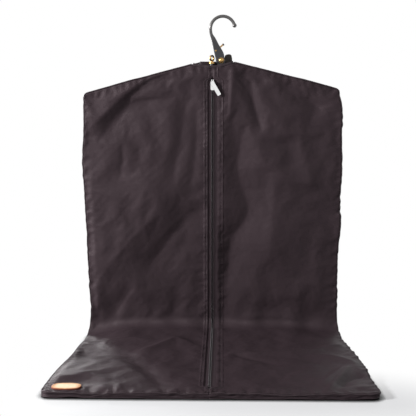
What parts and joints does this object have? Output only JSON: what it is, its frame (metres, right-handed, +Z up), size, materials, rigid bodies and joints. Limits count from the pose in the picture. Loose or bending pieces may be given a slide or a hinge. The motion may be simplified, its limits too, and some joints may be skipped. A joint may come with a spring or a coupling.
{
  "type": "garment bag",
  "caption": "Long nylon garment bag with a centre zip and a folding hook, its upper part upright and its lower part lying forward on the floor.",
  "frame": {"origin": "middle of the footprint, on the floor", "axes": "+X to the right as the zip side is seen, +Y to the back, +Z up; the zip side faces -Y"},
  "size_m": [0.6, 0.44, 0.7467],
  "materials": {
    "nylon": "fine nylon twill with a soft satin sheen",
    "piping": "nylon covered cord",
    "webbing": "woven edge tape",
    "zip_tape": "knitted tape",
    "coil": "nylon coil",
    "bright_metal": "polished",
    "leather": "natural vegetable tanned, edge sealed",
    "thread": "waxed thread",
    "hanger": "moulded",
    "gunmetal": "satin dark grey",
    "brass": "polished"
  },
  "bodies": {
    "bag": {"back_panel": "nylon", "front_panel_left": "nylon", "front_panel_right": "nylon", "shoulder_gusset_left": "nylon", "shoulder_gusset_right": "nylon", "side_gusset_left": "nylon", "side_gusset_right": "nylon", "bottom_gusset": "nylon", "front_piping_left": "piping", "front_piping_right": "piping", "back_piping_left": "piping", "back_piping_right": "piping", "neck_binding_front": "webbing", "neck_binding_back": "webbing", "neck_tab": "webbing", "zip_tape_left": "zip_tape", "zip_tape_right": "zip_tape", "zip_coil_left": "coil", "zip_coil_right": "coil", "zip_top_stop_left": "bright_metal", "zip_top_stop_right": "bright_metal", "zip_bottom_stop": "bright_metal", "leather_patch": "leather", "patch_thread": "thread", "hanger_hub": "hanger", "hanger_arm_left": "hanger", "hanger_arm_right": "hanger", "arm_screws": "bright_metal", "hook_pivot_pin": "brass", "pivot_washer": "brass", "pivot_cap": "brass", "eye_collar": "brass"},
    "hook": {"hook": "gunmetal", "lever_pin": "brass"},
    "lever": {"release_lever": "brass", "lever_cap": "gunmetal"},
    "eye": {"strap_eye": "brass", "eye_nut": "brass"},
    "slider": {"zip_slider": "bright_metal", "pull_pin": "bright_metal"},
    "link": {"pull_link": "bright_metal", "pull_rivet": "bright_metal"},
    "tab": {"pull_tab": "bright_metal"}
  },
  "joints": [
    {"name": "hook_fold", "type": "hinge", "parent": "bag", "child": "hook", "pos_m": [0.022, 0.21, 0.6436], "axis": [0, 1, 0], "range_deg": [-2, 37]},
    {"name": "lever_lift", "type": "hinge", "parent": "hook", "child": "lever", "pos_m": [0.0094, 0.21, 0.6651], "axis": [0, -1, 0], "range_deg": [0, 12], "stiffness_Nm_per_rad": 0.03, "springref_deg": -8.59},
    {"name": "eye_swivel", "type": "hinge", "parent": "bag", "child": "eye", "pos_m": [0.0005, 0.21, 0.6487], "axis": [0, 0, 1], "continuous": true},
    {"name": "zip_slide", "type": "slide", "parent": "bag", "child": "slider", "axis": [0, 0, -1], "range_m": [0, 0.5]},
    {"name": "pull_flip", "type": "hinge", "parent": "slider", "child": "link", "pos_m": [0.002, 0.19575, 0.59485], "axis": [-1, 0, 0], "range_deg": [0, 105]},
    {"name": "pull_swing", "type": "hinge", "parent": "link", "child": "tab", "pos_m": [0.002, 0.19575, 0.59125], "axis": [0, 1, 0], "range_deg": [-29.5, 90.5]}
  ]
}
